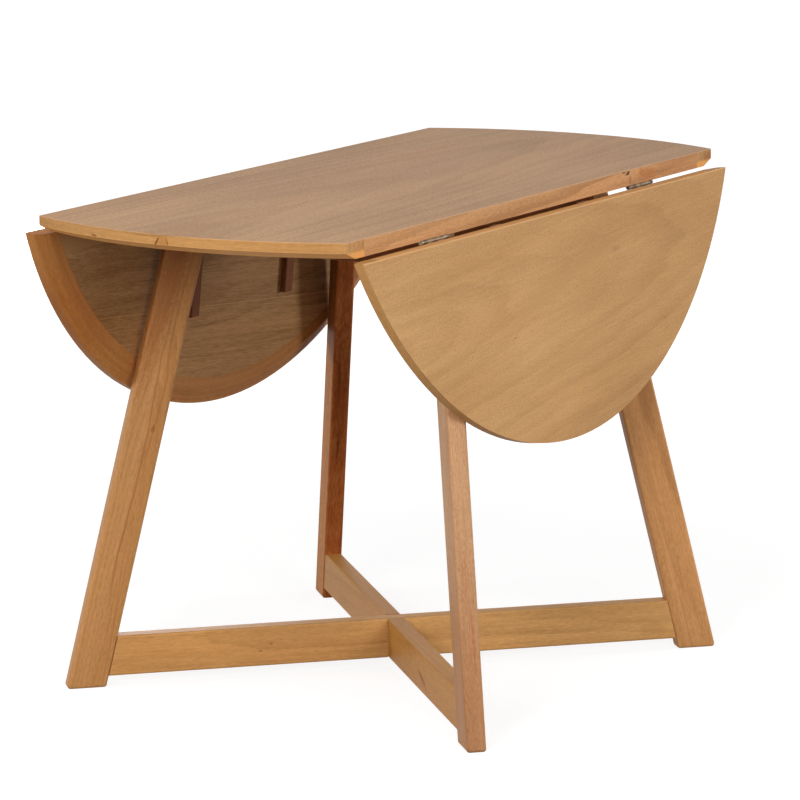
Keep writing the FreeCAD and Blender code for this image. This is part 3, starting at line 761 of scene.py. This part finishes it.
# knots, streaks, joint lines and painted shade of the stretchers, placed by height and along from the
# crossing
upperStretcherMarks = (
    {"at": (0.0035, -0.197), "size": (0.003, 0.004), "tone": (0.5, 0.4, 0.3), "weight": 0.6},
    {"at": (-0.0065, -0.214), "size": (0.0025, 0.004), "tone": (0.5, 0.4, 0.3), "weight": 0.6},
    {"at": (-0.0115, 0.409), "size": (0.012, 0.03), "tone": (0.72, 0.62, 0.52), "weight": 0.35},
    # painted shade: the stretcher darker towards its front-left end
    {"tinted": True, "at": (0, -0.35), "size": (0.5, 0.5), "core": 0.3, "tone": (0.90, 0.84, 0.78)},
)
lowerStretcherMarks = (
    {"tinted": True, "at": (-0.0085, 0.233), "size": (0.0065, 0.046), "core": 0.1, "tone": (0.74, 0.50, 0.34),
     "weight": 1.0, "turn": 17.6, "ragged": 1.0},
    {"tinted": True, "at": (-0.0065, 0.236), "size": (0.0030, 0.030), "core": 0.1, "tone": (0.60, 0.36, 0.24),
     "weight": 1.0, "turn": 20, "ragged": 1.0},
    {"at": (-0.0010, 0.252), "size": (0.002, 0.016), "core": 0.1, "tone": (0.5, 0.3, 0.18), "weight": 0.5,
     "turn": 10, "ragged": 0.7},
    {"tinted": True, "at": (0, -0.0140), "size": (0.5, 0.0011), "tone": (0.45, 0.32, 0.24), "ragged": 0.2},
    {"tinted": True, "at": (0, 0.0140), "size": (0.5, 0.0011), "tone": (0.45, 0.32, 0.24), "ragged": 0.2},
)

# the cross stretchers, the aprons and the dowels
underFrame = {
    "stretcherHeight": 0.0475,
    "apronHeight": 0.701,
    "upper": {
        "shade": tint(206, 157, 97),
        "seed": 31.0,
        "contrast": 1.3,
        "rings": 0.22,
        "pith": (0.02, 0.07),
        "ringGap": 0.009,
        "marks": upperStretcherMarks,
    },
    "lower": {
        "shade": tint(186, 133, 66),
        "seed": 33.0,
        "contrast": 1.3,
        "rings": 0.16,
        "pith": (-0.03, 0.09),
        "ringGap": 0.009,
        "marks": lowerStretcherMarks,
    },
    # painted shade: the aprons' dark red-brown stands in for the deep shade seen through the gap under the
    # top
    "apron": {"shade": tint(150, 92, 54), "seed": 35.0, "rings": 0.4, "specular": 0.05},
    "dowel": {"shade": tint(214, 182, 138), "seed": 37.0},
}


def dressFrame():
    look = underFrame
    low = (0, 0, look["stretcherHeight"])
    high = (0, 0, look["apronHeight"])
    dress(["cross_stretcher_upper"], woodFinish("upperStretcher", look["upper"], low, diagonal, up))
    dress(["cross_stretcher_lower"], woodFinish("lowerStretcher", look["lower"], low, otherDiagonal, up))
    for name, along in (("front", alongX), ("back", alongX), ("left", alongY), ("right", alongY)):
        dress(["apron_" + name], woodFinish(name + "Apron", look["apron"], high, along, up))
    dress(["stretcher_dowels"], woodFinish("dowels", look["dowel"], low, diagonal, up))


# hinges, pins, screws, bolts and nuts
metal = {
    "brushSize": 1400,
    "alongSize": 60,
    "dullSize": (70, 70, 70),
    "dullMetal": 0.25,
    "brushRough": 0.25,
    "dullRough": 0.15,
    "bump": 0.15,
    "bumpDepth": 0.0001,
    "hinge": {"shade": tint(150, 132, 108), "tinted": tint(70, 50, 34), "staining": 0.9, "rough": 0.55},
    "pin": {"shade": tint(150, 138, 120), "tinted": tint(70, 54, 40), "staining": 0.9, "rough": 0.5},
    "fastener": {"shade": tint(196, 190, 176), "tinted": tint(136, 122, 96), "staining": 0.6, "rough": 0.4},
}


def dressMetal():
    hinge = steelFinish("hingeSteel", metal["hinge"], (0, 1, 0))
    pin = steelFinish("pinSteel", metal["pin"], (0, 1, 0))
    fastener = steelFinish("fastenerSteel", metal["fastener"], (0, 0, 1))
    for name in nodes:
        if name.endswith("plate"):
            dress([name], hinge)
        elif name.startswith(("hinge_pins", "bar_stop_pin")):
            dress([name], pin)
        elif "screw" in name or "bolt" in name:
            dress([name], fastener)


dressMiddleBoard()
for side in sideSigns:
    dressLeaf(side)
dressLegs()
dressFrame()
dressMetal()
print("pieces dressed")

# floor, light and camera
studio = {
    "camera": (3.44851, -5.56137, 1.71224),
    "azimuth": 31.7076,
    "elevation": 11.189,
    "roll": -0.4164,
    "focal": 196.778,
    "sensor": 36,
    "floorReach": 30,
    "floorPaint": (0.30, 0.285, 0.27, 1),
    "floorShadow": (0.30, 0.30, 0.30, 1),
    "floorWhite": (0.83, 1.0),
    "floorFade": (0.9, 2.5),
    "surround": 0.18,
    "aim": (0, 0, 0.42),
    "farthest": 100,
    "lamps": {
        "above": {"at": (0.6, -1.2, 3.4), "size": 2.5, "power": 21},
        "right": {"at": (3.7, -2.0, 1.5), "size": 1.6, "power": 70},
        "front": {"at": (0.7, -4.0, 2.2), "size": 1.5, "power": 89},
        "left": {"at": (-3.4, -2.4, 1.6), "size": 1.6, "power": 54},
        "window": {"at": (2.9, 3.3, 0.8), "size": 0.9, "power": 62},
        "back": {"at": (-3.0, 3.4, 0.3), "size": 0.6, "power": 50},
    },
}


def addFloor():
    # pale paint for the light it throws back; seen directly it is white with the table's soft shadow
    f = newFinish("floorPaint")
    shown = f.shown()
    place = f.node("TexCoord", {}, {}, "Object")
    x, y, _ = f.parts(place)
    away = (x * x + y * y).maths("SQRT")
    near, far = studio["floorFade"]
    low, high = studio["floorWhite"]
    glow = f.node("Emission", {}, {"Color": (1, 1, 1, 1), "Strength": f.step(away, near, far, low, high)})
    paint = f.node("BsdfDiffuse", {}, {"Color": studio["floorPaint"]})
    shadow = f.node("BsdfDiffuse", {}, {"Color": studio["floorShadow"]})
    white = f.node("AddShader", {}, {0: shadow, 1: glow})
    reach = studio["floorReach"]
    mesh = bpy.data.meshes.new("floor")
    corners = [(-reach, -reach, 0), (reach, -reach, 0), (reach, reach, 0), (-reach, reach, 0)]
    mesh.from_pydata(corners, [], [(0, 1, 2, 3)])
    floor = bpy.data.objects.new("floor", mesh)
    bpy.context.scene.collection.objects.link(floor)
    mesh.materials.append(f.close(f.node("MixShader", {}, {0: shown, 1: paint, 2: white})))


def addWorld():
    world = bpy.data.worlds.new("studio")
    bpy.context.scene.world = world
    f = Finish(world, "OutputWorld")
    shown = f.shown()
    strength = f.step(shown, 0.0, 1.0, studio["surround"], 1.0)
    f.close(f.node("Background", {}, {"Color": (1, 1, 1, 1), "Strength": strength}))


def addLamps():
    aim = Vector(studio["aim"])
    for name, look in studio["lamps"].items():
        data = bpy.data.lights.new(name, "AREA")
        data.size = look["size"]
        data.energy = look["power"]
        lamp = bpy.data.objects.new(name, data)
        lamp.location = look["at"]
        lamp.rotation_euler = (aim - Vector(look["at"])).to_track_quat("-Z", "Y").to_euler()
        bpy.context.scene.collection.objects.link(lamp)


def addCamera():
    data = bpy.data.cameras.new("camera")
    data.sensor_width = studio["sensor"]
    data.lens = studio["focal"]
    data.clip_end = studio["farthest"]
    camera = bpy.data.objects.new("camera", data)
    turn = Matrix.Rotation(math.radians(studio["azimuth"]), 4, "Z")
    tip = Matrix.Rotation(math.radians(90 - studio["elevation"]), 4, "X")
    roll = Matrix.Rotation(math.radians(studio["roll"]), 4, "Z")
    camera.matrix_world = Matrix.Translation(studio["camera"]) @ turn @ tip @ roll
    bpy.context.scene.collection.objects.link(camera)
    bpy.context.scene.camera = camera


addFloor()
addWorld()
addLamps()
addCamera()
bpy.context.scene.view_settings.view_transform = "Standard"
print("studio set")
